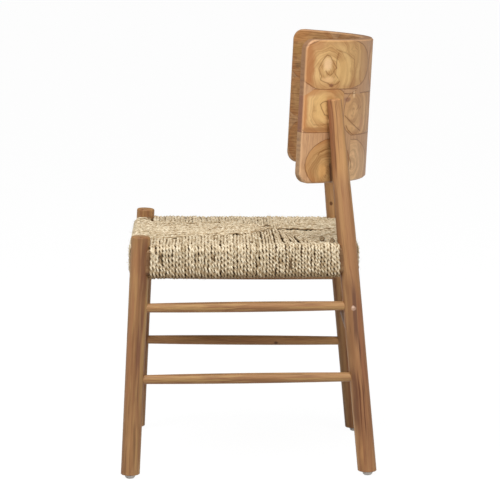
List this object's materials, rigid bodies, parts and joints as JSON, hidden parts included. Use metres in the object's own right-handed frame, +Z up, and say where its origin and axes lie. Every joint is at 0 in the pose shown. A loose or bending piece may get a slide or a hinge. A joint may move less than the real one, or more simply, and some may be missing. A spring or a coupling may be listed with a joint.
{
  "type": "lamu chair",
  "caption": "Side chair of round splayed hardwood legs with a woven cord seat and a deeply curved back glued up from cross-cut log slices.",
  "frame": {"origin": "on the floor, under the middle of the chair's bounding box", "axes": "+Z up, the chair faces -Y, +X is the sitter's left"},
  "size_m": [0.5064, 0.4994, 0.847],
  "materials": {
    "teak": "satin oiled long-grain teak",
    "end_grain_teak": "sanded cross-cut teak with growth rings and cracks",
    "filler_teak": "pale sanded teak wedges",
    "dowel_wood": "raw hardwood dowel",
    "pale_wood": "pale peg end",
    "seagrass_cord": "two-ply twisted seagrass cord",
    "seagrass_offcuts": "packed cord offcuts",
    "glide_plastic": "translucent white nylon",
    "nail_steel": "steel nail"
  },
  "bodies": {
    "root": {"back_dowels": "dowel_wood", "back_slice_bottom_1": "end_grain_teak", "back_slice_bottom_2": "end_grain_teak", "back_slice_bottom_3": "end_grain_teak", "back_slice_bottom_4": "end_grain_teak", "back_slice_middle_1": "end_grain_teak", "back_slice_middle_2": "end_grain_teak", "back_slice_middle_3": "end_grain_teak", "back_slice_middle_4": "end_grain_teak", "back_slice_middle_5": "end_grain_teak", "back_slice_top_1": "end_grain_teak", "back_slice_top_2": "end_grain_teak", "back_slice_top_3": "end_grain_teak", "back_slice_top_4": "end_grain_teak", "filler_wedges": "filler_teak", "front_leg_left": "teak", "front_leg_right": "teak", "front_rail": "teak", "front_stretcher": "teak", "glide_nails": "nail_steel", "glides": "glide_plastic", "rear_leg_left": "teak", "rear_leg_right": "teak", "rear_rail": "teak", "rear_stretcher": "teak", "seat_padding": "seagrass_offcuts", "side_rail_left": "teak", "side_rail_right": "teak", "side_stretcher_lower_left": "teak", "side_stretcher_lower_right": "teak", "side_stretcher_upper_left": "teak", "side_stretcher_upper_right": "teak", "tenon_pins": "pale_wood", "woven_seat": "seagrass_cord"}
  },
  "joints": []
}
